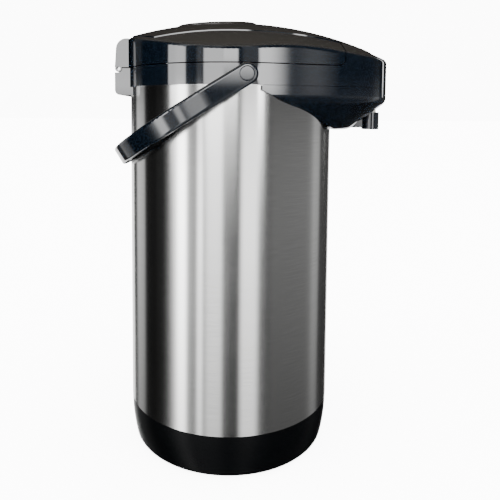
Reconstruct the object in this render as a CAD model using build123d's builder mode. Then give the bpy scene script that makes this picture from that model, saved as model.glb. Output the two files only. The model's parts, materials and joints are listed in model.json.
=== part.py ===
from build123d import *

import os
from math import cos, radians, sin, tan

# A pump airpot for coffee, about three litres.
# Millimetres, +Z up, +X towards the spout. The origin is on the body's axis, on the plane it stands on.

# ---- Driving dimensions ----

# Body
BODY_R = 85.0
BODY_TOP = 297.5
BASE_TOP = 36.0
SHELL_WALL = 1.0
LIP = 7.0                    # height of the plastic lips inside the steel body's two ends
LIP_GAP = 0.2

# Head: its plan is the hull of a circle over the body and a circle in the nose
HEAD_R = 87.3
NOSE_R = 70.0
NOSE_X = 131.6               # front of the nose
SKIN = 2.5                   # wall of the plastic shells
SEAM_LOW = 312.6             # top of the collar
SEAM_GAP = 0.8               # dark line between lid and housing
LID_FRONT = 85.6             # front edge of the lid
LID_CORNER = 4.5

# Domed top: an arc across the head, turned about a low axis along Y
DOME_TOP = 351.6
DOME_LONG_R = 296.0
DOME_CROSS_R = 152.0
RIM_R = 4.0
PANEL_LIFT = 0.8             # the middle panel stands this proud of the shoulders
PANEL_HALF = 60.5
PANEL_FRONT = 122.0

# Chin under the nose
CHIN_WALL_Z = 287.0          # the upright wall ends here and the underside slopes in
CHIN_BOTTOM = 264.3
CHIN_SLOPE = 53.0            # degrees from upright
CHIN_BEND_HIGH = 7.0
CHIN_BEND_LOW = 10.0
CHIN_START = 23.4            # the rear end of the chin, on the steel
CHIN_START_Z = 293.8
CHIN_EDGE_ANGLE = 25.6       # its lower edge on the steel falls at this angle

# Pump, in the lid
PUMP_X = -12.0
BUTTON_R = 34.0
BUTTON_LIFT = 2.2
BUTTON_EDGE = 1.2
CYLINDER_R = 36.5
CYLINDER_WALL = 1.5
CYLINDER_BOTTOM = 293.0
CYLINDER_TOP = 339.5
BELLOWS_R = 33.0
BELLOWS_FOLD = 6.0
BELLOWS_TOP = 342.0
PLEATS = 7

# Stopper under the lid
DRUM_R = 52.5
DRUM_BOTTOM = 300.9
WELL_R = 57.5                # well in the collar that the stopper drops into
WELL_FLOOR = 300.0

# Lid hinge
HINGE_X = -90.3
HINGE_Z = 312.3
HINGE_HALF = 33.0
HINGE_BACK = -93.2
HINGE_LUG_TOP = 336.4
HINGE_BLOCK_BOTTOM = 291.1
BLOCK_BEND = 4.0
KNUCKLE_R = 2.7
KNUCKLE_HALF = 13.9
HINGE_PIN_R = 1.5

# Front latch
LATCH_X = 93.0
LATCH_DROP = 5.5             # pin below the top of the lever
LATCH_PIN_R = 1.0
LEVER_T = 2.0
LEVER_EAR_Y = 15.0
EAR_T = 3.0

# Vacuum flask
FLASK_R = 76.0
FLASK_BOTTOM = 14.0
FLASK_SHOULDER = 236.0
NECK_R = 40.0
NECK_Z = 262.0
FLASK_TOP = 276.0
VACUUM = 5.0
NECK_VACUUM = 2.8
FLASK_WALL = 0.8

# Liquid path
PIPE_R = 4.8
PIPE_BORE = 3.5
PIPE_Z = 286.0
PIPE_BEND = 12.0
SPOUT_BEND = 7.0
DIP_X = 22.0
DIP_BOTTOM = 26.0
NOZZLE_X = 121.0
NOZZLE_R = 7.3
NOZZLE_BOTTOM = 264.0

# Bail handle: a flat bow behind its pivots, tilted down until its bar rests on the steel
PIVOT_X = 12.4
PIVOT_Z = 304.7
BAIL_TILT = 31.5
BAIL_OUT_R = 95.0
BAIL_T = 6.5
BAIL_W = 15.6
BAIL_ARM = 31.0
BAIL_EDGE_R = 2.2
PIVOT_PIN_R = 4.0

# Screws
SCREW_R = 1.5
HOUSING_SCREW_RING = 65.0

RUN = 0.05                   # radial clearance of a running fit
CLEAR = 0.4                  # gap between parts that pass each other
SOFT_EDGE = 0.6              # rounding of small moulded edges
ROOM = 70.0                  # height of the blanks before the dome trims them

# ---- Derived values ----

SHELL_IN = BODY_R - SHELL_WALL
LIP_R = SHELL_IN - LIP_GAP
NOSE_CX = NOSE_X - NOSE_R
SEAM_HIGH = SEAM_LOW + SEAM_GAP
HOUSING_FRONT = LID_FRONT + SEAM_GAP
DECK = SEAM_LOW - 3.0
BAIL_IN_R = BAIL_OUT_R - BAIL_T
CYLINDER_IN = CYLINDER_R - CYLINDER_WALL
CYLINDER_FLOOR = CYLINDER_BOTTOM + 2.0
MOUTH_R = NECK_R - FLASK_WALL - NECK_VACUUM

os.makedirs("parts", exist_ok=True)


def save(piece, name):
    """Names a finished piece and writes it."""
    piece.part.label = name
    export_step(piece.part, "parts/" + name + ".step")


# ---- Shapes that several pieces share ----


def half_section(*points):
    """A closed outline of radius and height points, as a face to turn about Z."""
    with BuildSketch(Plane.XZ) as section:
        with BuildLine():
            Polyline(*points, close=True)
        make_face()
    return section.sketch


def head_outline(inset=0.0):
    """Plan of the head in the active sketch, drawn inset from the outer wall."""
    Circle(HEAD_R - inset)
    with Locations((NOSE_CX, 0)):
        Circle(NOSE_R - inset)
    make_hull()


def panel_outline(inset=0.0):
    """Plan of the raised middle panel: straight sides behind, half an ellipse in front."""
    Ellipse(PANEL_FRONT - inset, PANEL_HALF - inset)
    with Locations((-HEAD_R, 0)):
        Rectangle(2 * HEAD_R, 2 * (PANEL_HALF - inset))


def under_dome(lift=0.0):
    """The space under the domed top when that surface is moved out by lift."""
    axis_z = DOME_TOP - DOME_LONG_R
    arc_z = axis_z - (DOME_LONG_R - DOME_CROSS_R)
    # The arc is drawn under its turning axis, which puts the seam of the turned face out of the way.
    with BuildPart() as space:
        with BuildSketch(Plane.YZ):
            with Locations((0, arc_z)):
                Circle(DOME_CROSS_R + lift)
            with Locations((0, arc_z)):
                Rectangle(
                    2.2 * HEAD_R, 2 * DOME_CROSS_R, align=(Align.CENTER, Align.MAX), mode=Mode.INTERSECT
                )
            with Locations((0, arc_z)):
                Rectangle(2.2 * HEAD_R, axis_z - arc_z, align=(Align.CENTER, Align.MIN))
        revolve(axis=Axis((0, 0, axis_z), (0, 1, 0)))
    return space.part


def head_blank(bottom):
    """The head above a height, trimmed by the dome and with its rim rounded."""
    with BuildPart() as blank:
        with BuildSketch(Plane.XY.offset(bottom)):
            head_outline()
        extrude(amount=ROOM)
        add(SHOULDER_SPACE, mode=Mode.INTERSECT)
        fillet(blank.faces().sort_by(Axis.Z)[-1].edges(), radius=RIM_R)
    return blank.part


def panel_blank(bottom, space, inset=0.0):
    """The middle panel above a height, under a dome."""
    with BuildPart() as blank:
        with BuildSketch(Plane.XY.offset(bottom)):
            head_outline(RIM_R)
            with BuildSketch(mode=Mode.PRIVATE) as panel:
                panel_outline(inset)
            add(panel.sketch, mode=Mode.INTERSECT)
        extrude(amount=ROOM)
        add(space, mode=Mode.INTERSECT)
    return blank.part


def lid_zone(front, bottom, corner):
    """The lid's share of the head: all behind a front edge and above a seam, with a rounded corner."""
    with BuildPart() as zone:
        with BuildSketch(Plane.XZ) as side:
            with Locations((front, bottom)):
                Rectangle(4 * HEAD_R, 2 * ROOM, align=(Align.MAX, Align.MIN))
            fillet(side.vertices().sort_by_distance((front, bottom, 0))[0], radius=corner)
        extrude(amount=2 * HEAD_R, both=True)
    return zone.part


SHOULDER_SPACE = under_dome()
PANEL_SPACE = under_dome(PANEL_LIFT)
INNER_SPACE = under_dome(-SKIN)
LID_ZONE = lid_zone(LID_FRONT, SEAM_HIGH, LID_CORNER)
LID_ROOM = lid_zone(HOUSING_FRONT, SEAM_LOW, LID_CORNER + SEAM_GAP)
HEAD_BLANK = head_blank(BODY_TOP)
PANEL_BLANK = panel_blank(SEAM_LOW + LID_CORNER, PANEL_SPACE)


# ---- Body ----

# Steel body tube, with a window at the front that the outlet pipe passes through, hidden by the chin
PIPE_WINDOW = 22.0
with BuildPart() as outer_shell:
    with BuildSketch(Plane.XY.offset(BASE_TOP)):
        Circle(BODY_R)
        Circle(SHELL_IN, mode=Mode.SUBTRACT)
    extrude(amount=BODY_TOP - BASE_TOP)
    with Locations((BODY_R, 0, PIPE_Z)):
        Box(2 * LIP, PIPE_WINDOW, PIPE_WINDOW, mode=Mode.SUBTRACT)
save(outer_shell, "outer_shell")

# Base cup: barrel-shaped plastic foot, with a lip inside the steel and a boss round the plug
BASE_BELLY_R = 83.7
BASE_FOOT_R = 80.3
BASE_FLOOR_Z = 1.0
BASE_WALL = 3.0
BASE_FOOT_BEND = 5.5
PLUG_R = 41.0
PLUG_BEVEL = 0.8
PLUG_BOSS_R = 45.0
PLUG_TOP = 10.0
FOOT_IN_R = 58.0
FOOT_OUT_R = 70.0
FOOT_T = 3.0
with BuildPart() as base_cup:
    with BuildSketch(Plane.XZ):
        with BuildLine():
            ThreePointArc(
                (BODY_R - LIP_GAP, BASE_TOP), (BASE_BELLY_R, BASE_TOP / 2), (BASE_FOOT_R, BASE_FLOOR_Z)
            )
            Polyline(
                (BASE_FOOT_R, BASE_FLOOR_Z),
                (0, BASE_FLOOR_Z),
                (0, BASE_TOP + LIP),
                (LIP_R, BASE_TOP + LIP),
                (LIP_R, BASE_TOP),
                (BODY_R - LIP_GAP, BASE_TOP),
            )
        make_face()
    revolve(axis=Axis.Z)
    fillet(base_cup.edges().group_by(Axis.Z)[0], radius=BASE_FOOT_BEND)
    hollow = half_section(
        (PLUG_BOSS_R, BASE_FLOOR_Z + BASE_WALL),
        (BASE_FOOT_R - 2 * BASE_WALL, BASE_FLOOR_Z + BASE_WALL),
        (BASE_BELLY_R - BASE_WALL, BASE_TOP / 2),
        (LIP_R - BASE_WALL, BASE_TOP + LIP),
        (0, BASE_TOP + LIP),
        (0, PLUG_TOP),
        (PLUG_BOSS_R, PLUG_TOP),
    )
    revolve(hollow, axis=Axis.Z, mode=Mode.SUBTRACT)
    with Locations((0, 0, PLUG_TOP)):
        Hole(PLUG_R)
    with BuildSketch(Plane.XY):
        Circle(FOOT_OUT_R)
        Circle(FOOT_IN_R, mode=Mode.SUBTRACT)
    extrude(amount=FOOT_T, mode=Mode.SUBTRACT)
save(base_cup, "base_cup")

# Threaded plug that presses the flask up against its neck gasket, with a coin slot
PLUG_FLOOR_Z = 1.4
SLOT_L = 34.0
SLOT_W = 3.4
SLOT_DEEP = 3.0
with BuildPart() as base_plug:
    with BuildSketch(Plane.XY.offset(PLUG_FLOOR_Z)):
        Circle(PLUG_R - LIP_GAP)
    extrude(amount=PLUG_TOP - PLUG_FLOOR_Z)
    with BuildSketch(Plane.XY.offset(PLUG_FLOOR_Z)):
        SlotOverall(SLOT_L, SLOT_W)
    extrude(amount=SLOT_DEEP, mode=Mode.SUBTRACT)
    chamfer(base_plug.edges().group_by(Axis.Z)[-1], length=PLUG_BEVEL)
save(base_plug, "base_plug")

# Rubber ring that the pot stands on
with BuildPart() as foot_ring:
    with BuildSketch(Plane.XY):
        Circle(FOOT_OUT_R - LIP_GAP)
        Circle(FOOT_IN_R + LIP_GAP, mode=Mode.SUBTRACT)
    extrude(amount=FOOT_T)
    fillet(foot_ring.edges().group_by(Axis.Z)[0], radius=SOFT_EDGE)
save(foot_ring, "foot_ring")

# Rubber cushion under the flask
with BuildPart() as flask_cushion:
    with BuildSketch(Plane.XY.offset(PLUG_TOP)):
        Circle(PLUG_R - 2 * SHELL_WALL)
        Circle(PLUG_R / 2, mode=Mode.SUBTRACT)
    extrude(amount=FLASK_BOTTOM - PLUG_TOP)
save(flask_cushion, "flask_cushion")

# ---- Vacuum flask ----

SHOULDER_BEND = 30.0
NECK_BEND = 14.0


def bottle_section(radius, bottom, neck_r, top, corner):
    """Half outline of a filled bottle, as a face to turn about Z."""
    drop = (radius - neck_r) * (NECK_Z - FLASK_SHOULDER) / (FLASK_R - NECK_R)
    with BuildSketch(Plane.XZ) as section:
        with BuildLine():
            FilletPolyline(
                (0, bottom),
                (radius, bottom),
                (radius, NECK_Z - drop),
                (neck_r, NECK_Z),
                (neck_r, top),
                radius=[corner, SHOULDER_BEND, NECK_BEND],
            )
            Polyline((neck_r, top), (0, top), (0, bottom))
        make_face()
    return section.sketch


FLASK_BEND = 26.0
OUTER_WALL = bottle_section(FLASK_R, FLASK_BOTTOM, NECK_R, FLASK_TOP, FLASK_BEND)
OUTER_WALL_IN = bottle_section(
    FLASK_R - FLASK_WALL, FLASK_BOTTOM + FLASK_WALL, NECK_R - FLASK_WALL, FLASK_TOP, FLASK_BEND - FLASK_WALL
)
with BuildPart() as flask_outer_wall:
    revolve(OUTER_WALL, axis=Axis.Z)
    revolve(OUTER_WALL_IN, axis=Axis.Z, mode=Mode.SUBTRACT)
save(flask_outer_wall, "flask_outer_wall")

INNER_R = FLASK_R - FLASK_WALL - VACUUM
INNER_BOTTOM = FLASK_BOTTOM + FLASK_WALL + VACUUM
MOUTH_RIM_TOP = FLASK_TOP + 1.0
INNER_BEND = FLASK_BEND - VACUUM
INNER_WALL = bottle_section(INNER_R, INNER_BOTTOM, MOUTH_R, MOUTH_RIM_TOP, INNER_BEND)
INNER_WALL_IN = bottle_section(
    INNER_R - FLASK_WALL,
    INNER_BOTTOM + FLASK_WALL,
    MOUTH_R - FLASK_WALL,
    MOUTH_RIM_TOP,
    INNER_BEND - FLASK_WALL,
)
with BuildPart() as flask_inner_wall:
    revolve(INNER_WALL, axis=Axis.Z)
    with BuildSketch(Plane.XY.offset(FLASK_TOP)):
        Circle(NECK_R)
    extrude(amount=MOUTH_RIM_TOP - FLASK_TOP)
    revolve(INNER_WALL_IN, axis=Axis.Z, mode=Mode.SUBTRACT)
save(flask_inner_wall, "flask_inner_wall")

GASKET_T = 2.5
FUNNEL_BOTTOM = MOUTH_RIM_TOP + GASKET_T
with BuildPart() as neck_gasket:
    with BuildSketch(Plane.XY.offset(MOUTH_RIM_TOP)):
        Circle(NECK_R + 2 * SHELL_WALL)
        Circle(MOUTH_R, mode=Mode.SUBTRACT)
    extrude(amount=GASKET_T)
save(neck_gasket, "neck_gasket")

# ---- Funnel between the flask's mouth and the collar ----

FUNNEL_FLANGE_R = 69.0
FUNNEL_WALL = 2.5
FUNNEL_CONE_TOP = 289.0
GROMMET_R = 7.2
GROMMET_X0 = 43.0
GROMMET_X1 = 52.0
FUNNEL_WALL_SECTION = half_section(
    (MOUTH_R + 0.5, FUNNEL_BOTTOM),
    (NECK_R + 2 * SHELL_WALL, FUNNEL_BOTTOM),
    (NECK_R + 2 * SHELL_WALL, FUNNEL_BOTTOM + FUNNEL_WALL),
    (DRUM_R + FUNNEL_WALL, FUNNEL_CONE_TOP),
    (DRUM_R + FUNNEL_WALL, WELL_FLOOR - FUNNEL_WALL),
    (WELL_R + FUNNEL_WALL, WELL_FLOOR - FUNNEL_WALL),
    (WELL_R + FUNNEL_WALL, DECK - FUNNEL_WALL),
    (FUNNEL_FLANGE_R, DECK - FUNNEL_WALL),
    (FUNNEL_FLANGE_R, DECK),
    (WELL_R, DECK),
    (WELL_R, WELL_FLOOR),
    (DRUM_R - SHELL_WALL, WELL_FLOOR),
    (DRUM_R - SHELL_WALL, FUNNEL_CONE_TOP),
    (MOUTH_R + FUNNEL_WALL, FUNNEL_BOTTOM + FUNNEL_WALL),
    (MOUTH_R + 0.5, FUNNEL_BOTTOM + 1.0),
)
with BuildPart() as neck_funnel:
    revolve(FUNNEL_WALL_SECTION, axis=Axis.Z)
    with BuildSketch(Plane.YZ.offset(GROMMET_X0 - LIP)):
        with Locations((0, PIPE_Z)):
            Circle(GROMMET_R)
    extrude(amount=3 * LIP, mode=Mode.SUBTRACT)
    with BuildSketch(Plane.XY.offset(DECK - FUNNEL_WALL)):
        with PolarLocations(HOUSING_SCREW_RING, 4, start_angle=45):
            Circle(SCREW_R)
    extrude(amount=FUNNEL_WALL, mode=Mode.SUBTRACT)
save(neck_funnel, "neck_funnel")

# Rubber grommet that seals the pipe in the funnel's wall
with BuildPart() as pipe_grommet:
    with BuildSketch(Plane.YZ.offset(GROMMET_X0)):
        with Locations((0, PIPE_Z)):
            Circle(GROMMET_R - RUN)
            Circle(PIPE_R + RUN, mode=Mode.SUBTRACT)
    extrude(amount=GROMMET_X1 - GROMMET_X0)
save(pipe_grommet, "pipe_grommet")

# ---- Liquid path ----

PIPE_START = MOUTH_RIM_TOP - 13.0
PIPE_END = NOZZLE_BOTTOM + 3.0
with BuildPart() as outlet_pipe:
    with BuildLine():
        FilletPolyline(
            (DIP_X, 0, PIPE_START),
            (DIP_X, 0, PIPE_Z),
            (NOZZLE_X, 0, PIPE_Z),
            (NOZZLE_X, 0, PIPE_END),
            radius=[PIPE_BEND, SPOUT_BEND],
        )
    with BuildSketch(Plane.XY.offset(PIPE_START)):
        with Locations((DIP_X, 0)):
            Circle(PIPE_R)
            Circle(PIPE_BORE, mode=Mode.SUBTRACT)
    sweep()
save(outlet_pipe, "outlet_pipe")

# Riser tube that draws from the bottom of the flask, cut slanting at its foot
with BuildPart() as dip_tube:
    with BuildSketch(Plane.XY.offset(DIP_BOTTOM)):
        with Locations((DIP_X, 0)):
            Circle(PIPE_BORE - RUN)
            Circle(PIPE_BORE - 1.0, mode=Mode.SUBTRACT)
    extrude(amount=PIPE_START + LIP - DIP_BOTTOM)
    with Locations(Location((DIP_X, 0, DIP_BOTTOM), (0, 30, 0))):
        Box(4 * PIPE_R, 4 * PIPE_R, 2 * SHELL_WALL, mode=Mode.SUBTRACT)
    dip_offcuts = dip_tube.solids().sort_by(SortBy.VOLUME)[:-1]
    for offcut in dip_offcuts:
        add(offcut, mode=Mode.SUBTRACT)
save(dip_tube, "dip_tube")

# ---- Chin cover and nozzle ----

CHIN_SKIN = 2.2
CHIN_TOP = BODY_TOP - 0.3


def chin_blank(inset):
    """The chin filled, with sharp bends: an upright wall above an underside that slopes in."""
    wall_bottom = CHIN_WALL_Z + inset / 2
    bottom = CHIN_BOTTOM + inset
    slope_in = (wall_bottom - bottom) * tan(radians(CHIN_SLOPE))
    with BuildPart() as shape:
        with BuildSketch(Plane.XY.offset(wall_bottom)):
            head_outline(inset)
        with BuildSketch(Plane.XY.offset(bottom)):
            head_outline(inset + slope_in)
        loft(ruled=True)
        with BuildSketch(Plane.XY.offset(wall_bottom)):
            head_outline(inset)
        extrude(amount=CHIN_TOP + inset - wall_bottom)
    return shape.part


CHIN_HOLLOW = chin_blank(CHIN_SKIN)
FIN_X0 = 100.0
FIN_T = 3.0
FIN_BOTTOM = 265.5
FIN_TOP = 278.5
# Side view of what is cut away: all behind the rear edge and below the slanting lower edge
CHIN_EDGE_RUN = BODY_R - CHIN_START
CHIN_EDGE_DROP = CHIN_EDGE_RUN * tan(radians(CHIN_EDGE_ANGLE))
with BuildPart() as chin_cover:
    add(chin_blank(0.0))
    fillet(chin_cover.edges().group_by(Axis.Z)[0], radius=CHIN_BEND_LOW)
    bend = [e for e in chin_cover.edges() if abs(e.center().Z - CHIN_WALL_Z) < RUN]
    fillet(bend, radius=CHIN_BEND_HIGH)
    with BuildSketch(Plane.XZ):
        with BuildLine():
            Polyline(
                (CHIN_START, BODY_TOP + CLEAR),
                (CHIN_START, CHIN_START_Z),
                (BODY_R, CHIN_START_Z - CHIN_EDGE_DROP),
                (BODY_R, CHIN_BOTTOM - SKIN),
                (-2 * BODY_R, CHIN_BOTTOM - SKIN),
                (-2 * BODY_R, BODY_TOP + CLEAR),
                close=True,
            )
        make_face()
    extrude(amount=2 * HEAD_R, both=True, mode=Mode.SUBTRACT)
    with BuildSketch(Plane.XY.offset(CHIN_BOTTOM - SKIN)):
        Circle(BODY_R + LIP_GAP)
    extrude(amount=ROOM, mode=Mode.SUBTRACT)
    add(CHIN_HOLLOW, mode=Mode.SUBTRACT)
    # Thin fin behind the nozzle
    with Locations(((FIN_X0 + NOZZLE_X) / 2, 0, (FIN_BOTTOM + FIN_TOP) / 2)):
        Box(NOZZLE_X - FIN_X0, FIN_T, FIN_TOP - FIN_BOTTOM)
    with BuildSketch(Plane.XY.offset(FIN_BOTTOM - FIN_T)):
        with Locations((NOZZLE_X, 0)):
            Circle(NOZZLE_R + RUN)
    extrude(amount=BODY_TOP - FIN_BOTTOM, mode=Mode.SUBTRACT)
save(chin_cover, "chin_cover")

NOZZLE_TOP = 278.8
NOZZLE_LIP = 0.8
with BuildPart() as spout_nozzle:
    with BuildSketch(Plane.XY.offset(NOZZLE_BOTTOM)):
        with Locations((NOZZLE_X, 0)):
            Circle(NOZZLE_R)
            Circle(PIPE_R + RUN, mode=Mode.SUBTRACT)
    extrude(amount=NOZZLE_TOP - NOZZLE_BOTTOM)
    fillet(spout_nozzle.edges().group_by(Axis.Z)[0], radius=NOZZLE_LIP)
save(spout_nozzle, "spout_nozzle")

# ---- Hinge shapes shared by the housing and the lid ----


def hinge_round(radius, half_length):
    """A cylinder on the lid hinge's axis."""
    with BuildPart() as bar:
        with BuildSketch(Plane.XZ.offset(-half_length)):
            with Locations((HINGE_X, HINGE_Z)):
                Circle(radius)
        extrude(amount=2 * half_length)
    return bar.part


HINGE_INNER_X = -78.0
NOTCH_R = KNUCKLE_R + CLEAR
KNUCKLE = hinge_round(KNUCKLE_R, KNUCKLE_HALF)
PIN_HOLE = hinge_round(HINGE_PIN_R + RUN, 2 * HINGE_HALF)
HINGE_NOTCH = hinge_round(NOTCH_R, 2 * HINGE_HALF)

# ---- Head housing: collar, nose and the lower half of the lid hinge ----

SCREW_HOLE_DEEP = 2.0        # through the deck
BOSS_R = 7.0
BOSS_IN = 78.0
LUG_Y = 11.0
LUG_R = 2.2
LATCH_Z = DOME_TOP + PANEL_LIFT - DOME_LONG_R + (DOME_LONG_R**2 - LATCH_X**2) ** 0.5 - LATCH_DROP
BAY_FLOOR_Z = 316.0
NOSE_BACK = HOUSING_FRONT + SKIN


def ears(y, radius, width, top):
    """Two upright plates on the latch pin's axis, rounded at the pin."""
    with BuildPart() as pair:
        for side in (-1, 1):
            with Locations((LATCH_X, side * y, (LATCH_Z + top) / 2)):
                Box(2 * radius, width, abs(top - LATCH_Z))
            with Locations(Location((LATCH_X, side * y, LATCH_Z), (90, 0, 0))):
                Cylinder(radius, width)
    return pair.part


with BuildPart() as head_housing:
    add(HEAD_BLANK)
    add(LID_ROOM, mode=Mode.SUBTRACT)
    # Hollow of the nose, in front of its back wall
    with BuildSketch(Plane.XY.offset(BODY_TOP)):
        head_outline(SKIN)
        with Locations((NOSE_BACK, 0)):
            Rectangle(4 * HEAD_R, 4 * HEAD_R, align=(Align.MAX, Align.CENTER), mode=Mode.SUBTRACT)
    nose_hollow = extrude(amount=ROOM, mode=Mode.PRIVATE)
    add(nose_hollow & INNER_SPACE, mode=Mode.SUBTRACT)
    # Hollow of the collar, under its deck, and the well the stopper drops into
    with BuildSketch(Plane.XY.offset(BODY_TOP)):
        head_outline(SKIN)
    extrude(amount=DECK - BODY_TOP, mode=Mode.SUBTRACT)
    with BuildSketch(Plane.XY.offset(BODY_TOP)):
        Circle(WELL_R + CLEAR)
    extrude(amount=SEAM_LOW - BODY_TOP, mode=Mode.SUBTRACT)
    # Bay that the latch lever lies in
    with BuildSketch(Plane.XY.offset(BAY_FLOOR_Z - SKIN)):
        panel_outline(-SKIN)
        with Locations((HOUSING_FRONT, 0)):
            Rectangle(4 * HEAD_R, 4 * HEAD_R, align=(Align.MAX, Align.CENTER), mode=Mode.SUBTRACT)
    bay_block = extrude(amount=ROOM, mode=Mode.PRIVATE)
    add(bay_block & SHOULDER_SPACE)
    with BuildSketch(Plane.XY.offset(BAY_FLOOR_Z)):
        panel_outline()
        with Locations((HOUSING_FRONT - SEAM_GAP, 0)):
            Rectangle(4 * HEAD_R, 4 * HEAD_R, align=(Align.MAX, Align.CENTER), mode=Mode.SUBTRACT)
    extrude(amount=ROOM, mode=Mode.SUBTRACT)
    add(ears(LUG_Y, LUG_R, EAR_T, BAY_FLOOR_Z - RUN))
    # Lip inside the steel, cut away for the outlet pipe
    with BuildSketch(Plane.XY.offset(BODY_TOP)):
        Circle(HEAD_R - SHELL_WALL)
        Circle(LIP_R - SKIN, mode=Mode.SUBTRACT)
    extrude(amount=SKIN)
    with BuildSketch(Plane.XY.offset(BODY_TOP)):
        Circle(LIP_R)
        Circle(LIP_R - SKIN, mode=Mode.SUBTRACT)
        with Locations((BODY_R, 0)):
            Rectangle(BODY_R, PIPE_WINDOW, mode=Mode.SUBTRACT)
    extrude(amount=-LIP)
    # Bosses for the handle's pivot pins
    for side in (-1, 1):
        with BuildSketch(Plane.XZ.offset(-side * BOSS_IN)):
            with Locations((PIVOT_X, PIVOT_Z)):
                Circle(BOSS_R)
        extrude(amount=-side * (HEAD_R - SKIN / 2 - BOSS_IN))
    # Lower half of the lid hinge
    with BuildSketch(Plane.XZ) as hinge_side:
        with Locations((HINGE_BACK, HINGE_BLOCK_BOTTOM)):
            Rectangle(
                HINGE_INNER_X - HINGE_BACK, SEAM_LOW - HINGE_BLOCK_BOTTOM, align=(Align.MIN, Align.MIN)
            )
        block_corner = hinge_side.vertices().sort_by_distance((HINGE_BACK, HINGE_BLOCK_BOTTOM, 0))[0]
        fillet(block_corner, radius=BLOCK_BEND)
    hinge_block = extrude(amount=HINGE_HALF, both=True, mode=Mode.PRIVATE)
    with BuildSketch(Plane.XY.offset(HINGE_BLOCK_BOTTOM)):
        Circle(BODY_R + LIP_GAP)
    steel_room = extrude(amount=BODY_TOP - HINGE_BLOCK_BOTTOM, mode=Mode.PRIVATE)
    add(hinge_block - steel_room)
    with Locations((HINGE_X, 0, HINGE_Z - NOTCH_R)):
        Box(LIP, 4 * HINGE_HALF, LIP, align=(Align.MAX, Align.CENTER, Align.MIN), mode=Mode.SUBTRACT)
    add(HINGE_NOTCH, mode=Mode.SUBTRACT)
    # The middle knuckle stands on a web in front of and below the pin
    add(KNUCKLE)
    with Locations((HINGE_X, 0, HINGE_Z - KNUCKLE_R)):
        Box(
            NOTCH_R + SHELL_WALL, 2 * KNUCKLE_HALF, KNUCKLE_R, align=(Align.MIN, Align.CENTER, Align.MIN)
        )
    add(PIN_HOLE, mode=Mode.SUBTRACT)
    # Holes for the pivot pins, the latch pin and the funnel's screws
    with Locations(Location((PIVOT_X, 0, PIVOT_Z), (90, 0, 0))):
        Cylinder(PIVOT_PIN_R + RUN, 2 * BAIL_OUT_R, mode=Mode.SUBTRACT)
    with Locations(Location((LATCH_X, 0, LATCH_Z), (90, 0, 0))):
        Cylinder(LATCH_PIN_R + RUN, 2 * (LUG_Y + EAR_T), mode=Mode.SUBTRACT)
    with BuildSketch(Plane.XY.offset(DECK)):
        with PolarLocations(HOUSING_SCREW_RING, 4, start_angle=45):
            Circle(SCREW_R)
    extrude(amount=SCREW_HOLE_DEEP, mode=Mode.SUBTRACT)
save(head_housing, "head_housing")

SCREW_HEAD_R = 2.8
SCREW_HEAD_T = 1.8


def pan_screws(points, seat_z, length):
    """Pan-head screws that point up from a seat."""
    with BuildPart() as group:
        with Locations(*[(x, y, seat_z) for x, y in points]):
            Cylinder(SCREW_R - RUN, length, align=(Align.CENTER, Align.CENTER, Align.MIN))
            Cylinder(SCREW_HEAD_R, SCREW_HEAD_T, align=(Align.CENTER, Align.CENTER, Align.MAX))
    return group


FUNNEL_SCREW_POINTS = [
    (HOUSING_SCREW_RING * cos(radians(angle)), HOUSING_SCREW_RING * sin(radians(angle)))
    for angle in (45, 135, 225, 315)
]
FUNNEL_SCREW_L = FUNNEL_WALL + 1.8
housing_screws = pan_screws(FUNNEL_SCREW_POINTS, DECK - FUNNEL_WALL, FUNNEL_SCREW_L)
save(housing_screws, "housing_screws")

with BuildPart() as hinge_pin:
    add(hinge_round(HINGE_PIN_R, HINGE_HALF - SKIN))
save(hinge_pin, "hinge_pin")

# ---- Lid ----

LID_BACK_X = -82.0
GUIDE_R = BUTTON_R + 0.5
GUIDE_WALL = 1.8
GUIDE_BOTTOM = 341.0
LID_BOSS_R = 3.6
LID_BOSS_POINTS = [(47.0 * i, 57.0 * j) for i in (-1, 1) for j in (-1, 1)]
LINER_BOTTOM = SEAM_HIGH + SHELL_WALL
LINER_T = 2.0
LINER_TOP = LINER_BOTTOM + LINER_T
SCREW_IN = 7.0
LUG_LEAN = 1.6
LUG_BEND = 8.5
LOCK_X = -60.0
LOCK_TRAVEL = 13.0
LOCK_L = 16.0
LOCK_W = 11.0
LOCK_T = 2.0
LOCK_CORNER = 1.5
RIB_PITCH = 2.4
RIB_COUNT = 5
RIB_W = 1.0
LOCK_DEEP = 2.4
LOCK_PAD = 2.0
PANEL_AXIS_Z = DOME_TOP - DOME_LONG_R
PANEL_LONG_R = DOME_LONG_R + PANEL_LIFT
LOCK_RISE = (PANEL_LONG_R**2 - LOCK_X**2) ** 0.5
LOCK_PLANE = Plane(
    origin=(LOCK_X, 0, PANEL_AXIS_Z + LOCK_RISE),
    x_dir=(LOCK_RISE, 0, -LOCK_X),
    z_dir=(LOCK_X, 0, LOCK_RISE),
)
CATCH_HALF = 7.5
CATCH_LOW = LATCH_Z - 8.5
CATCH_H = 4.5
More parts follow.
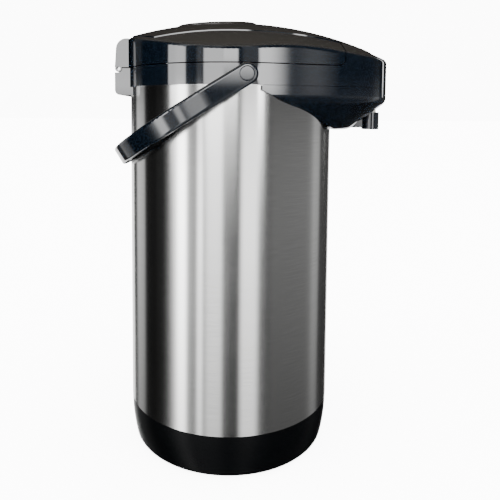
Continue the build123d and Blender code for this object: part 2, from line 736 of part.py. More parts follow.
with BuildPart() as lid_shell:
    add(HEAD_BLANK)
    add(PANEL_BLANK)
    add(LID_ZONE, mode=Mode.INTERSECT)
    # Upper half of the hinge
    with BuildSketch(Plane.XZ) as lug_side:
        with BuildLine():
            Polyline(
                (HINGE_BACK, SEAM_HIGH),
                (HINGE_BACK + LUG_LEAN, HINGE_LUG_TOP),
                (LID_BACK_X, HINGE_LUG_TOP),
                (LID_BACK_X, SEAM_HIGH),
                close=True,
            )
        make_face()
        lug_corner = lug_side.vertices().sort_by_distance((HINGE_BACK + LUG_LEAN, HINGE_LUG_TOP, 0))[0]
        fillet(lug_corner, radius=LUG_BEND)
    extrude(amount=HINGE_HALF, both=True)
    add(hinge_round(KNUCKLE_R, HINGE_HALF))
    # Hollow, with the hinge's end left solid
    with BuildSketch(Plane.XY.offset(SEAM_HIGH - LIP)):
        head_outline(SKIN)
        with Locations((LID_FRONT - SKIN, 0)):
            Rectangle(4 * HEAD_R, 4 * HEAD_R, align=(Align.MIN, Align.CENTER), mode=Mode.SUBTRACT)
    lid_hollow = extrude(amount=ROOM, mode=Mode.PRIVATE)
    add(lid_hollow & INNER_SPACE, mode=Mode.SUBTRACT)
    # Guide round the button, bosses for the liner's screws and a pad under the lock's pocket
    with BuildSketch(Plane.XY.offset(GUIDE_BOTTOM)):
        with Locations((PUMP_X, 0)):
            Circle(GUIDE_R + GUIDE_WALL)
    guide_blank = extrude(amount=ROOM, mode=Mode.PRIVATE)
    add(guide_blank & SHOULDER_SPACE)
    with BuildSketch(Plane.XY.offset(LINER_TOP + RUN)):
        with Locations(*LID_BOSS_POINTS):
            Circle(LID_BOSS_R)
    boss_blank = extrude(amount=ROOM, mode=Mode.PRIVATE)
    add(boss_blank & SHOULDER_SPACE)
    with BuildSketch(LOCK_PLANE.offset(-LOCK_DEEP - LOCK_PAD)):
        Rectangle(LOCK_W + 2 * LOCK_PAD, LOCK_L + LOCK_TRAVEL + 2 * LOCK_PAD)
    extrude(amount=LOCK_DEEP)
    with BuildSketch(Plane.XY.offset(GUIDE_BOTTOM)):
        with Locations((PUMP_X, 0)):
            Circle(GUIDE_R)
    extrude(amount=ROOM, mode=Mode.SUBTRACT)
    with BuildSketch(Plane.XY.offset(LINER_TOP)):
        with Locations(*LID_BOSS_POINTS):
            Circle(SCREW_R)
    extrude(amount=SCREW_IN + SHELL_WALL, mode=Mode.SUBTRACT)
    with BuildSketch(LOCK_PLANE.offset(-LOCK_DEEP)):
        Rectangle(LOCK_W + 2 * CLEAR, LOCK_L + LOCK_TRAVEL + 2 * CLEAR)
    extrude(amount=2 * LOCK_DEEP, mode=Mode.SUBTRACT)
    # Window in the front wall for the latch's hook
    with Locations((LID_FRONT, 0, CATCH_LOW)):
        Box(
            3 * SKIN,
            2 * CATCH_HALF,
            CATCH_H,
            align=(Align.CENTER, Align.CENTER, Align.MIN),
            mode=Mode.SUBTRACT,
        )
    # Gap for the housing's knuckle, and the pin's bores
    add(hinge_round(NOTCH_R, KNUCKLE_HALF + CLEAR), mode=Mode.SUBTRACT)
    add(PIN_HOLE, mode=Mode.SUBTRACT)
save(lid_shell, "lid_shell")

# Liner that closes the lid from below and carries the stopper's drum
PUMP_SEAT_R = CYLINDER_R + CLEAR
DRUM_WALL = 2.0
DRUM_FLOOR = DRUM_BOTTOM + DRUM_WALL
with BuildPart() as lid_liner:
    with BuildSketch(Plane.XY.offset(LINER_BOTTOM)):
        head_outline(SKIN + CLEAR)
        with Locations((LID_FRONT - SKIN - CLEAR, 0)):
            Rectangle(4 * HEAD_R, 4 * HEAD_R, align=(Align.MIN, Align.CENTER), mode=Mode.SUBTRACT)
    extrude(amount=LINER_T)
    with BuildSketch(Plane.XY.offset(DRUM_BOTTOM)):
        Circle(DRUM_R)
    extrude(amount=LINER_TOP - DRUM_BOTTOM)
    with BuildSketch(Plane.XY.offset(DRUM_FLOOR)):
        Circle(DRUM_R - DRUM_WALL)
    extrude(amount=LINER_TOP - DRUM_FLOOR, mode=Mode.SUBTRACT)
    with BuildSketch(Plane.XY.offset(DRUM_BOTTOM)):
        with Locations((PUMP_X, 0)):
            Circle(PUMP_SEAT_R)
    extrude(amount=DRUM_WALL, mode=Mode.SUBTRACT)
    with BuildSketch(Plane.XY.offset(LINER_BOTTOM)):
        with Locations(*LID_BOSS_POINTS):
            Circle(SCREW_R)
    extrude(amount=LINER_T, mode=Mode.SUBTRACT)
save(lid_liner, "lid_liner")

# The heads stand in the gap between the liner and the collar's deck
lid_screws = pan_screws(LID_BOSS_POINTS, LINER_BOTTOM, LINER_T + SCREW_IN)
save(lid_screws, "lid_screws")

LID_GASKET_T = 1.8
LID_GASKET_H = 3.5
with BuildPart() as lid_gasket:
    with BuildSketch(Plane.XY.offset(DRUM_BOTTOM - LIP_GAP)):
        Circle(DRUM_R + LID_GASKET_T)
        Circle(DRUM_R + RUN, mode=Mode.SUBTRACT)
    extrude(amount=LID_GASKET_H)
    fillet(lid_gasket.edges().group_by(Axis.Z)[0], radius=SOFT_EDGE)
save(lid_gasket, "lid_gasket")

# ---- Pump ----

VENT_RING = 6.0
VENT_R = 1.5
VALVE_STEM_R = 1.8
FLANGE_R = 42.0
with BuildPart() as pump_cylinder:
    with BuildSketch(Plane.XY.offset(CYLINDER_BOTTOM)):
        with Locations((PUMP_X, 0)):
            Circle(CYLINDER_R)
    extrude(amount=CYLINDER_TOP - CYLINDER_BOTTOM)
    with BuildSketch(Plane.XY.offset(DRUM_FLOOR)):
        with Locations((PUMP_X, 0)):
            Circle(FLANGE_R)
        Circle(DRUM_R - DRUM_WALL - CLEAR, mode=Mode.INTERSECT)
    extrude(amount=DRUM_WALL)
    with BuildSketch(Plane.XY.offset(CYLINDER_FLOOR)):
        with Locations((PUMP_X, 0)):
            Circle(CYLINDER_IN)
    extrude(amount=CYLINDER_TOP - CYLINDER_FLOOR, mode=Mode.SUBTRACT)
    with BuildSketch(Plane.XY.offset(CYLINDER_BOTTOM)):
        with Locations((PUMP_X, 0)):
            Circle(VALVE_STEM_R + LIP_GAP)
            with PolarLocations(VENT_RING, 6):
                Circle(VENT_R)
    extrude(amount=CYLINDER_FLOOR - CYLINDER_BOTTOM, mode=Mode.SUBTRACT)
save(pump_cylinder, "pump_cylinder")

# Rubber flap that lets air down into the flask and not back
VALVE_R = 9.0
VALVE_T = 1.2
VALVE_HEAD_R = 2.8
with BuildPart() as air_valve:
    with Locations((PUMP_X, 0, CYLINDER_BOTTOM - VALVE_T - RUN)):
        Cylinder(VALVE_R, VALVE_T, align=(Align.CENTER, Align.CENTER, Align.MIN))
        Cylinder(VALVE_STEM_R, 2 * VALVE_T + 2.2, align=(Align.CENTER, Align.CENTER, Align.MIN))
    with Locations((PUMP_X, 0, CYLINDER_FLOOR + RUN)):
        Cylinder(VALVE_HEAD_R, VALVE_T, align=(Align.CENTER, Align.CENTER, Align.MIN))
save(air_valve, "air_valve")

BELLOWS_WALL = 1.2
BELLOWS_BOTTOM = CYLINDER_FLOOR + LIP_GAP
FOLD_H = (BELLOWS_TOP - BELLOWS_BOTTOM) / (2 * PLEATS)
fold_out = [
    (BELLOWS_R - BELLOWS_FOLD * (i % 2), BELLOWS_BOTTOM + FOLD_H * i) for i in range(2 * PLEATS + 1)
]
fold_in = [(x - 2 * BELLOWS_WALL, z) for x, z in reversed(fold_out)]
with BuildPart() as bellows:
    revolve(half_section(*fold_out, *fold_in), axis=Axis.Z)
    bellows.part.move(Location((PUMP_X, 0, 0)))
save(bellows, "bellows")

SPRING_R = 18.0
SPRING_WIRE_R = 0.9
SPRING_TURNS = 6
SPRING_BOTTOM = BELLOWS_BOTTOM + SPRING_WIRE_R
SPRING_H = BELLOWS_TOP - SPRING_WIRE_R - LIP_GAP - SPRING_BOTTOM
with BuildPart() as return_spring:
    with BuildLine():
        coil = Helix(SPRING_H / SPRING_TURNS, SPRING_H, SPRING_R, center=(PUMP_X, 0, SPRING_BOTTOM))
    with BuildSketch(Plane(origin=coil @ 0, z_dir=coil % 0)):
        Circle(SPRING_WIRE_R)
    sweep()
save(return_spring, "return_spring")

PLATE_T = 2.0
with BuildPart() as pressure_plate:
    with Locations((PUMP_X, 0, BELLOWS_TOP + RUN)):
        Cylinder(BELLOWS_R - 0.5, PLATE_T, align=(Align.CENTER, Align.CENTER, Align.MIN))
    fillet(pressure_plate.edges().group_by(Axis.Z)[0], radius=SOFT_EDGE)
save(pressure_plate, "pressure_plate")

BUTTON_SKIN = 2.4
BUTTON_BOTTOM = BELLOWS_TOP + RUN + PLATE_T
BUTTON_SPACE = under_dome(BUTTON_LIFT)
BUTTON_UNDER = under_dome(BUTTON_LIFT - BUTTON_SKIN)
STEM_R = 12.0
with BuildPart() as push_button:
    with BuildSketch(Plane.XY.offset(BUTTON_BOTTOM)):
        with Locations((PUMP_X, 0)):
            Circle(BUTTON_R)
    extrude(amount=ROOM)
    add(BUTTON_SPACE, mode=Mode.INTERSECT)
    fillet(push_button.faces().sort_by(Axis.Z)[-1].edges(), radius=BUTTON_EDGE)
    with BuildSketch(Plane.XY.offset(BUTTON_BOTTOM)):
        with Locations((PUMP_X, 0)):
            Circle(BUTTON_R - BUTTON_SKIN)
            Circle(STEM_R, mode=Mode.SUBTRACT)
    button_hollow = extrude(amount=ROOM, mode=Mode.PRIVATE)
    add(button_hollow & BUTTON_UNDER, mode=Mode.SUBTRACT)
save(push_button, "push_button")

# Button lock: a thumb slide in a pocket behind the button
LOCK_RIB = 0.6
with BuildPart() as lock_slider:
    with BuildSketch(LOCK_PLANE.offset(-LOCK_DEEP + RUN)):
        with Locations((0, LOCK_TRAVEL / 2)):
            RectangleRounded(LOCK_W, LOCK_L, LOCK_CORNER)
    extrude(amount=LOCK_T)
    with BuildSketch(LOCK_PLANE.offset(LOCK_T - LOCK_DEEP)):
        with Locations((0, LOCK_TRAVEL / 2)):
            with GridLocations(1, RIB_PITCH, 1, RIB_COUNT):
                Rectangle(LOCK_W - 2 * LOCK_CORNER, RIB_W)
    extrude(amount=LOCK_RIB)
save(lock_slider, "lock_slider")

# ---- Front latch ----

LEVER_BACK = HOUSING_FRONT + 1.0
LEVER_UNDER = under_dome(PANEL_LIFT - LEVER_T)
HOOK_HALF = 6.0
HOOK_T = 2.0
HOOK_TIP_X = LID_FRONT + SEAM_GAP
with BuildPart() as latch_lever:
    with BuildSketch(Plane.XY.offset(BAY_FLOOR_Z)):
        panel_outline(SEAM_GAP)
        with Locations((LEVER_BACK, 0)):
            Rectangle(4 * HEAD_R, 4 * HEAD_R, align=(Align.MAX, Align.CENTER), mode=Mode.SUBTRACT)
    extrude(amount=ROOM)
    add(PANEL_SPACE, mode=Mode.INTERSECT)
    add(LEVER_UNDER, mode=Mode.SUBTRACT)
    add(ears(LEVER_EAR_Y, LUG_R, EAR_T, LATCH_Z + LATCH_DROP - LEVER_T))
    with Locations((LEVER_BACK + SHELL_WALL, 0, CATCH_LOW + SHELL_WALL)):
        Box(
            HOOK_T,
            2 * HOOK_HALF,
            LATCH_Z + LATCH_DROP - CATCH_LOW - SHELL_WALL,
            align=(Align.MIN, Align.CENTER, Align.MIN),
        )
    with Locations((HOOK_TIP_X, 0, CATCH_LOW + SHELL_WALL)):
        Box(HOOK_T + SEAM_GAP, 2 * HOOK_HALF, HOOK_T, align=(Align.MIN, Align.CENTER, Align.MIN))
    with Locations(Location((LATCH_X, 0, LATCH_Z), (90, 0, 0))):
        Cylinder(LATCH_PIN_R + RUN, 4 * LEVER_EAR_Y, mode=Mode.SUBTRACT)
save(latch_lever, "latch_lever")

with BuildPart() as latch_pin:
    with Locations(Location((LATCH_X, 0, LATCH_Z), (90, 0, 0))):
        Cylinder(LATCH_PIN_R, 2 * LEVER_EAR_Y + EAR_T)
save(latch_pin, "latch_pin")

# ---- Bail handle ----

tilt = radians(BAIL_TILT)
BAIL_PLANE = Plane(
    origin=(PIVOT_X, 0, PIVOT_Z),
    x_dir=(-cos(tilt), 0, -sin(tilt)),
    z_dir=(-sin(tilt), 0, cos(tilt)),
)
BAIL_END = BAIL_W / 2
CAP_R = 5.4
CAP_EDGE = 0.9
HEAD_T = 1.4
CAP_SEAT = BAIL_OUT_R - 1.4
HEAD_SEAT = CAP_SEAT - HEAD_T - LIP_GAP


def bow(radius):
    """Plan of one side of the bow in the active sketch: straight arms and a half circle."""
    with Locations((BAIL_ARM, 0)):
        Circle(radius)
    with Locations((-BAIL_END, 0)):
        Rectangle(BAIL_END + BAIL_ARM, 2 * radius, align=(Align.MIN, Align.CENTER))


with BuildPart() as bail_handle:
    with BuildSketch(BAIL_PLANE.offset(-BAIL_W / 2)) as bow_plan:
        bow(BAIL_OUT_R)
        with BuildSketch(mode=Mode.PRIVATE) as gap_plan:
            bow(BAIL_IN_R)
            with Locations((-BAIL_END, 0)):
                Rectangle(BAIL_W, 2 * BAIL_IN_R)
        add(gap_plan.sketch, mode=Mode.SUBTRACT)
        with Locations((-BAIL_END, 0)):
            Rectangle(4 * BAIL_OUT_R, 4 * BAIL_OUT_R, align=(Align.MAX, Align.CENTER), mode=Mode.SUBTRACT)
    extrude(amount=BAIL_W)
    ends = bail_handle.edges().filter_by(Axis.Y).sort_by_distance(BAIL_PLANE.origin)
    eye_edges = [e for e in ends if (e.center() - BAIL_PLANE.origin).dot(BAIL_PLANE.x_dir) < 0]
    fillet(eye_edges, radius=BAIL_END - CLEAR)
    fillet(bail_handle.edges(), radius=BAIL_EDGE_R)
    for side in (-1, 1):
        with Locations(Location((PIVOT_X, side * BAIL_OUT_R, PIVOT_Z), (-90 * side, 0, 0))):
            Cylinder(CAP_R + RUN, 2 * (BAIL_OUT_R - HEAD_SEAT), mode=Mode.SUBTRACT)
            Cylinder(PIVOT_PIN_R + RUN, 4 * BAIL_T, mode=Mode.SUBTRACT)
save(bail_handle, "bail_handle")

with BuildPart() as handle_pivot_pins:
    for side in (-1, 1):
        with Locations(Location((PIVOT_X, side * HEAD_SEAT, PIVOT_Z), (-90 * side, 0, 0))):
            Cylinder(
                PIVOT_PIN_R, HEAD_SEAT - BOSS_IN - SHELL_WALL, align=(Align.CENTER, Align.CENTER, Align.MAX)
            )
            Cylinder(CAP_R - LIP_GAP, HEAD_T, align=(Align.CENTER, Align.CENTER, Align.MIN))
save(handle_pivot_pins, "handle_pivot_pins")

CAP_RISE = 0.6
with BuildPart() as handle_pivot_caps:
    for side in (-1, 1):
        with Locations(Location((PIVOT_X, side * CAP_SEAT, PIVOT_Z), (-90 * side, 0, 0))):
            Cylinder(CAP_R, BAIL_OUT_R - CAP_SEAT + CAP_RISE, align=(Align.CENTER, Align.CENTER, Align.MIN))
    outer_faces = handle_pivot_caps.faces().filter_by(Axis.Y).sort_by(Axis.Y)
    fillet(outer_faces[0].edges() + outer_faces[-1].edges(), radius=CAP_EDGE)
save(handle_pivot_caps, "handle_pivot_caps")
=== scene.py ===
import json
from math import pi, radians

import bpy
from mathutils import Matrix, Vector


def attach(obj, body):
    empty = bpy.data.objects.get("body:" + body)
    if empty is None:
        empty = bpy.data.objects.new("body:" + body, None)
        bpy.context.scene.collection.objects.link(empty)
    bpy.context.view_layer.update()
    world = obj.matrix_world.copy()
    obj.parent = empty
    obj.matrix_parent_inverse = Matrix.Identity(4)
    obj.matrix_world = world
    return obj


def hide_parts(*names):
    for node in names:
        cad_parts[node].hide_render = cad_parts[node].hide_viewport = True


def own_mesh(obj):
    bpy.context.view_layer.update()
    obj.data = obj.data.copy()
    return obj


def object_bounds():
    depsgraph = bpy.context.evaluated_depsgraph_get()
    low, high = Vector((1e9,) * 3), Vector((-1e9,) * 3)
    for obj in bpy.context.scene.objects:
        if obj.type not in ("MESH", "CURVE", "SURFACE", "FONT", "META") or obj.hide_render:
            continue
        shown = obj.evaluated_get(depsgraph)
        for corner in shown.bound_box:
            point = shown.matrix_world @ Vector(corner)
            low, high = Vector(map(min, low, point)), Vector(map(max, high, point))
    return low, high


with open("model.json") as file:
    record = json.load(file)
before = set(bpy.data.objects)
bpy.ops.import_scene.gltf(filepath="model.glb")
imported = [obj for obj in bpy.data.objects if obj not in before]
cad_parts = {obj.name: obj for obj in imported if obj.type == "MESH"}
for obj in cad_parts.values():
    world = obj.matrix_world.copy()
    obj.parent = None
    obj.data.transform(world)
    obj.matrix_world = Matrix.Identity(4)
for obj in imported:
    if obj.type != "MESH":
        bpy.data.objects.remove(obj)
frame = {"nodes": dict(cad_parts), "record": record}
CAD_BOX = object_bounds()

# A pump airpot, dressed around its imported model. Metres, +Z up, +X towards the spout.

MM = 0.001

# ---- Node helpers ----


def new_material(name):
    """A material with no nodes yet, and its node tree."""
    material = bpy.data.materials.new(name)
    material.use_nodes = True
    tree = material.node_tree
    tree.nodes.clear()
    return material, tree


def node(tree, kind, **settings):
    """Adds a node. Settings name its own properties, or its sockets by name."""
    made = tree.nodes.new(kind)
    for key, value in settings.items():
        if hasattr(made, key):
            setattr(made, key, value)
        else:
            made.inputs[key.replace("_", " ")].default_value = value
    return made


def principled(tree, **sockets):
    """The surface shader, joined to the output, with constant values on its own sockets."""
    shader = tree.nodes.new("ShaderNodeBsdfPrincipled")
    for key, value in sockets.items():
        shader.inputs[key.replace("_", " ")].default_value = value
    output = tree.nodes.new("ShaderNodeOutputMaterial")
    tree.links.new(shader.outputs["BSDF"], output.inputs["Surface"])
    return shader


def object_noise(tree, scale, detail=3.0, stretch=(1.0, 1.0, 1.0)):
    """Noise in the object's own space, scale in repeats per metre."""
    coords = tree.nodes.new("ShaderNodeTexCoord")
    mapping = tree.nodes.new("ShaderNodeMapping")
    mapping.inputs["Scale"].default_value = stretch
    noise = node(tree, "ShaderNodeTexNoise", Scale=scale, Detail=detail)
    tree.links.new(coords.outputs["Object"], mapping.inputs["Vector"])
    tree.links.new(mapping.outputs["Vector"], noise.inputs["Vector"])
    return noise


def spread(tree, source, low, high, start=0.3, end=0.7):
    """Maps a value's middle range onto low to high."""
    mapped = tree.nodes.new("ShaderNodeMapRange")
    for key, value in (("From Min", start), ("From Max", end), ("To Min", low), ("To Max", high)):
        mapped.inputs[key].default_value = value
    tree.links.new(source, mapped.inputs["Value"])
    return mapped.outputs["Result"]


def blend_colour(tree, factor, low, high):
    """Two colours mixed by a value."""
    mix = tree.nodes.new("ShaderNodeMix")
    mix.data_type = "RGBA"
    mix.inputs["A"].default_value = (*low, 1.0)
    mix.inputs["B"].default_value = (*high, 1.0)
    tree.links.new(factor, mix.inputs["Factor"])
    return mix.outputs["Result"]


def bump(tree, shader, height, strength, distance):
    """Gives the shader a bump from a height."""
    made = node(tree, "ShaderNodeBump", Strength=strength, Distance=distance)
    tree.links.new(height, made.inputs["Height"])
    tree.links.new(made.outputs["Normal"], shader.inputs["Normal"])


# ---- Materials ----

ALONG_RINGS = (0.02, 0.02, 1.0)  # noise scale per axis, which draws it out into rings
UPRIGHT_BELOW = 0.35             # height part of the normal, below which a face counts as upright
TOP_ABOVE = 0.75
POLISHED_ROUGHNESS = 0.06
SATIN_ROUGHNESS = 0.30


def shaded(tone):
    """A slightly darker version of a colour, for its variation."""
    return tuple(0.88 * channel for channel in tone)


def brushed_steel(name, tone, roughness, ring_scale):
    """Steel brushed round the Z axis: fine rings in bump and colour, and a slow drift in the roughness."""
    material, tree = new_material(name)
    shader = principled(tree, Metallic=1.0, Anisotropic=0.85, Anisotropic_Rotation=0.25)
    rings = object_noise(tree, ring_scale, 4.0, ALONG_RINGS)
    haze = object_noise(tree, 14.0, 2.0)
    colour = blend_colour(tree, spread(tree, rings.outputs["Fac"], 0.0, 1.0), shaded(tone), tone)
    tree.links.new(colour, shader.inputs["Base Color"])
    varied = spread(tree, haze.outputs["Fac"], roughness * 0.95, roughness * 1.05)
    tree.links.new(varied, shader.inputs["Roughness"])
    tangent = tree.nodes.new("ShaderNodeTangent")
    tangent.direction_type = "RADIAL"
    tangent.axis = "Z"
    tree.links.new(tangent.outputs["Tangent"], shader.inputs["Tangent"])
    bump(tree, shader, rings.outputs["Fac"], 0.15, 0.02 * MM)
    return material


def satin_plastic(name, tone, roughness, grain_scale=2600.0, grain=0.15, specular=0.5):
    """Moulded plastic with a fine spark-eroded grain."""
    material, tree = new_material(name)
    shader = principled(tree, IOR=1.5, Specular_IOR_Level=specular)
    fine = object_noise(tree, grain_scale, 3.0)
    broad = object_noise(tree, 30.0, 2.0)
    colour = blend_colour(tree, spread(tree, broad.outputs["Fac"], 0.0, 1.0), shaded(tone), tone)
    tree.links.new(colour, shader.inputs["Base Color"])
    varied = spread(tree, broad.outputs["Fac"], roughness * 0.9, roughness * 1.1)
    tree.links.new(varied, shader.inputs["Roughness"])
    bump(tree, shader, fine.outputs["Fac"], grain, 0.08 * MM)
    return material


def finish_and_painted_top_light_plastic(name, side_tone, painted_top_light_tone):
    """Black plastic, polished where it is upright and satin on top. Its colour is also lighter and warmer
    on top, which is painted top light.
    """
    material, tree = new_material(name)
    shader = principled(tree, IOR=1.8, Coat_Weight=0.3, Coat_Roughness=0.03, Coat_IOR=1.5)
    geometry = tree.nodes.new("ShaderNodeNewGeometry")
    split = tree.nodes.new("ShaderNodeSeparateXYZ")
    tree.links.new(geometry.outputs["Normal"], split.inputs["Vector"])
    facing_up = spread(tree, split.outputs["Z"], 0.0, 1.0, UPRIGHT_BELOW, TOP_ABOVE)
    # Painted top light: upward faces get the lighter, warmer colour as well as their real satin finish.
    tree.links.new(blend_colour(tree, facing_up, side_tone, painted_top_light_tone), shader.inputs["Base Color"])
    rough = spread(tree, facing_up, POLISHED_ROUGHNESS, SATIN_ROUGHNESS, 0.0, 1.0)
    tree.links.new(rough, shader.inputs["Roughness"])
    grain = object_noise(tree, 1800.0, 3.0)
    bump(tree, shader, grain.outputs["Fac"], 0.02, 0.03 * MM)
    return material


BLACK = (0.0010, 0.0020, 0.0036)
# Warm black: the satin plastic's own colour, and the painted top light on the gloss plastic's upward faces.
WARM_BLACK_AND_PAINTED_TOP_LIGHT = (0.0100, 0.0092, 0.0082)
STEEL = (0.80, 0.80, 0.79)
looks = {
    "steel": brushed_steel("steel_brushed", STEEL, 0.18, 2600.0),
    "flask_steel": brushed_steel("steel_drawn", (0.70, 0.70, 0.69), 0.18, 500.0),
    "screw_steel": brushed_steel("steel_bright", (0.72, 0.72, 0.73), 0.2, 1500.0),
    "black_gloss": finish_and_painted_top_light_plastic("plastic_gloss_painted_top_light", BLACK, WARM_BLACK_AND_PAINTED_TOP_LIGHT),
    "black_satin": satin_plastic("plastic_satin", WARM_BLACK_AND_PAINTED_TOP_LIGHT, 0.3),
    "base_plastic": satin_plastic("plastic_base", (0.0005, 0.0006, 0.0008), 0.3, specular=0.1),
    "inner_plastic": satin_plastic("plastic_food_grade", (0.42, 0.41, 0.38), 0.4),
    "rubber": satin_plastic("rubber_black", (0.02, 0.02, 0.021), 0.65, 900.0, 0.4),
    "silicone": satin_plastic("silicone_pale", (0.36, 0.35, 0.32), 0.5, 700.0, 0.2),
}
for part in frame["record"]["subparts"]:
    frame["nodes"][part["node"]].material_slots[0].material = looks[part["material_slot"]]

# ---- Copies of the soft pump parts, moved onto the lid ----


def shortens(name):
    """A copy of a soft CAD piece, attached to the lid in place of the original, which is hidden."""
    source = frame["nodes"][name]
    piece = bpy.data.objects.new(name + "_soft", source.data.copy())
    bpy.context.collection.objects.link(piece)
    piece.matrix_world = source.matrix_world.copy()
    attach(piece, "lid")
    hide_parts(name)
    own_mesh(piece)


shortens("bellows")
shortens("return_spring")

# ---- Studio ----

BACKDROP = 14.0
FLOOR_GLOW = 8.0
CEILING_POWER = 16.0
# Brightness round the object, set by comparing the steel's light and dark bands with the photograph's:
# (azimuth in degrees anticlockwise from +X, level), joined by straight ramps.
SURROUND = [
    (-180, 0.025),
    (-168, 0.032),
    (-161, 0.25),
    (-157, 0.80),
    (-152, 2.6),
    (-147, 9.0),
    (-141, 9.0),
    (-137, 1.1),
    (-127, 0.60),
    (-124, 4.5),
    (-121, 4.5),
    (-118, 0.90),
    (-113, 2.6),
    (-100, 2.6),
    (-96, 0.25),
    (-87, 0.06),
    (-80, 0.08),
    (-75, 3.4),
    (-62, 3.4),
    (-56, 0.30),
    (-47, 0.17),
    (-40, 0.24),
    (5, 0.25),
    (12, 0.30),
    (20, 0.55),
    (29, 0.50),
    (34, 0.09),
    (60, 0.06),
    (136, 0.08),
    (141, 1.0),
    (156, 0.70),
    (161, 0.016),
]
# How that brightness changes with height: (sine of the elevation, gain).
BY_HEIGHT = [
    (-1.0, 0.15),
    (-0.55, 0.3),
    (-0.35, 0.65),
    (-0.12, 1.0),
    (-0.01, 1.0),
    (0.07, 0.12),
    (1.0, 0.12),
]
# Extra light: azimuth from, to, sine of elevation from, to, level. The first six are above the horizon, for
# the polished plastic, and the last two are below it, for the steel's far side.
WINDOWS = [
    (-160, -137, 0.0, 0.40, 5.0),
    (-119, -96, 0.0, 0.40, 6.0),
    (-98, -81, 0.05, 0.40, 8.0),
    (-61, -52, 0.0, 0.40, 8.5),
    (-52, -47, 0.0, 0.40, 0.6),
    (41, 47, 0.0, 0.45, 3.5),
    (66, 84, -0.95, -0.02, 2.2),
    (104, 126, -0.95, -0.02, 2.4),
]
AZIMUTH_EDGE = 2.0
HEIGHT_EDGE = 0.05
FULL_TURN = 360.0


def ramp_of(tree, value, low, high, stops):
    """A grey ramp along a value from low to high, through (value, brightness) stops."""
    ramp = tree.nodes.new("ShaderNodeValToRGB")
    elements = ramp.color_ramp.elements
    for number, (place, level) in enumerate(stops):
        spot = (place - low) / (high - low)
        stop = elements[number] if number < 2 else elements.new(spot)
        stop.position = spot
        stop.color = (level, level, level, 1.0)
    tree.links.new(spread(tree, value, 0.0, 1.0, low, high), ramp.inputs["Fac"])
    return ramp.outputs["Color"]


def arithmetic(tree, operation, first, second):
    """Maths on two values; each is a socket or a number."""
    made = node(tree, "ShaderNodeMath", operation=operation)
    for socket, value in zip(made.inputs, (first, second)):
        if isinstance(value, (int, float)):
            socket.default_value = value
        else:
            tree.links.new(value, socket)
    return made.outputs["Value"]


def band(tree, value, low, high, soft):
    """One inside low to high, falling to zero over a soft edge."""
    rise = spread(tree, value, 0.0, 1.0, low, low + soft)
    fall = spread(tree, value, 1.0, 0.0, high - soft, high)
    return arithmetic(tree, "MULTIPLY", rise, fall)


def studio_world():
    """White to the camera, and the surround and its extra lights to the object."""
    world = bpy.data.worlds.new("studio")
    world.use_nodes = True
    tree = world.node_tree
    tree.nodes.clear()
    coords = tree.nodes.new("ShaderNodeTexCoord")
    split = tree.nodes.new("ShaderNodeSeparateXYZ")
    tree.links.new(coords.outputs["Generated"], split.inputs["Vector"])
    turn = arithmetic(tree, "ARCTAN2", split.outputs["Y"], split.outputs["X"])
    azimuth = arithmetic(tree, "MULTIPLY", turn, FULL_TURN / (2 * pi))
    height = split.outputs["Z"]
    panels = ramp_of(tree, azimuth, -FULL_TURN / 2, FULL_TURN / 2, SURROUND)
    total = arithmetic(tree, "MULTIPLY", panels, ramp_of(tree, height, -1.0, 1.0, BY_HEIGHT))
    for start, end, low, high, level in WINDOWS:
        across = band(tree, azimuth, start, end, AZIMUTH_EDGE)
        upward = band(tree, height, low, high, HEIGHT_EDGE)
        window = arithmetic(tree, "MULTIPLY", across, upward)
        total = arithmetic(tree, "ADD", total, arithmetic(tree, "MULTIPLY", window, level))
    around = tree.nodes.new("ShaderNodeBackground")
    tree.links.new(total, around.inputs["Color"])
    seen = node(tree, "ShaderNodeBackground", Strength=BACKDROP)
    path = tree.nodes.new("ShaderNodeLightPath")
    choose = tree.nodes.new("ShaderNodeMixShader")
    tree.links.new(path.outputs["Is Camera Ray"], choose.inputs["Fac"])
    tree.links.new(around.outputs["Background"], choose.inputs[1])
    tree.links.new(seen.outputs["Background"], choose.inputs[2])
    output = tree.nodes.new("ShaderNodeOutputWorld")
    tree.links.new(choose.outputs["Shader"], output.inputs["Surface"])
    bpy.context.scene.world = world


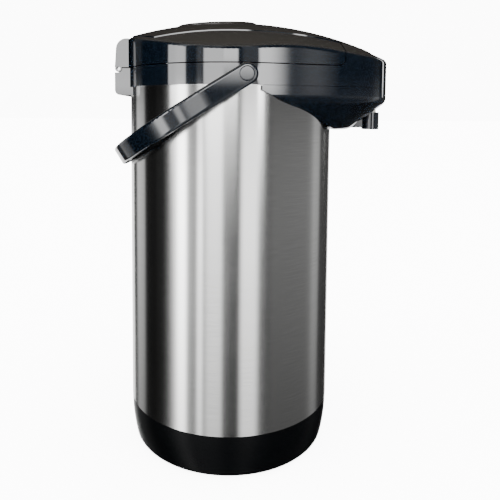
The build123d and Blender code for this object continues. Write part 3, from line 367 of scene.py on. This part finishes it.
def soft_light():
    """One even light from above, as wide as a studio ceiling. Reflections leave it out."""
    data = bpy.data.lights.new("ceiling", "SUN")
    data.energy = CEILING_POWER
    data.angle = radians(120.0)
    lamp = bpy.data.objects.new("ceiling", data)
    lamp.visible_glossy = False
    lamp.rotation_euler = (radians(20.0), radians(5.0), 0.0)
    bpy.context.collection.objects.link(lamp)


def floor():
    """A plain pale floor. It glows to the camera alone, and reflections leave it out."""
    half = 30.0
    corners = [(-half, -half, 0), (half, -half, 0), (half, half, 0), (-half, half, 0)]
    mesh = bpy.data.meshes.new("floor")
    mesh.from_pydata(corners, [], [(0, 1, 2, 3)])
    thing = bpy.data.objects.new("floor", mesh)
    bpy.context.collection.objects.link(thing)
    material, tree = new_material("floor_pale")
    shader = principled(tree, Roughness=0.6, Specular_IOR_Level=0.1)
    cloud = object_noise(tree, 3.0)
    pale = blend_colour(tree, cloud.outputs["Fac"], (0.93, 0.93, 0.93), (0.97, 0.97, 0.97))
    tree.links.new(pale, shader.inputs["Base Color"])
    path = tree.nodes.new("ShaderNodeLightPath")
    glow = arithmetic(tree, "MULTIPLY", path.outputs["Is Camera Ray"], FLOOR_GLOW)
    tree.links.new(glow, shader.inputs["Emission Strength"])
    shader.inputs["Emission Color"].default_value = (1.0, 1.0, 1.0, 1.0)
    mesh.materials.append(material)
    thing.location.z = CAD_BOX[0].z - 0.2 * MM
    thing.visible_glossy = False


# ---- Camera ----

CAMERA_PLACE = (5.6 * MM, -481.1 * MM, 276 * MM)
PITCH_DOWN = radians(4.0)
ROLL = radians(0.395)
FOCAL_LENGTH = 39.8          # in millimetres, on a sensor this wide
SENSOR_WIDTH = 36.0
SHIFT = (0.026, -0.1936)


def camera():
    """Near, at the height of the upper body, seen from the side with the spout to the right."""
    data = bpy.data.cameras.new("view")
    data.sensor_width = SENSOR_WIDTH
    data.lens = FOCAL_LENGTH
    data.shift_x, data.shift_y = SHIFT
    view = bpy.data.objects.new("view", data)
    turn = Matrix.Rotation(pi / 2 - PITCH_DOWN, 4, "X") @ Matrix.Rotation(ROLL, 4, "Z")
    view.matrix_world = Matrix.Translation(CAMERA_PLACE) @ turn
    bpy.context.collection.objects.link(view)
    bpy.context.scene.camera = view


camera()
studio_world()
floor()
soft_light()
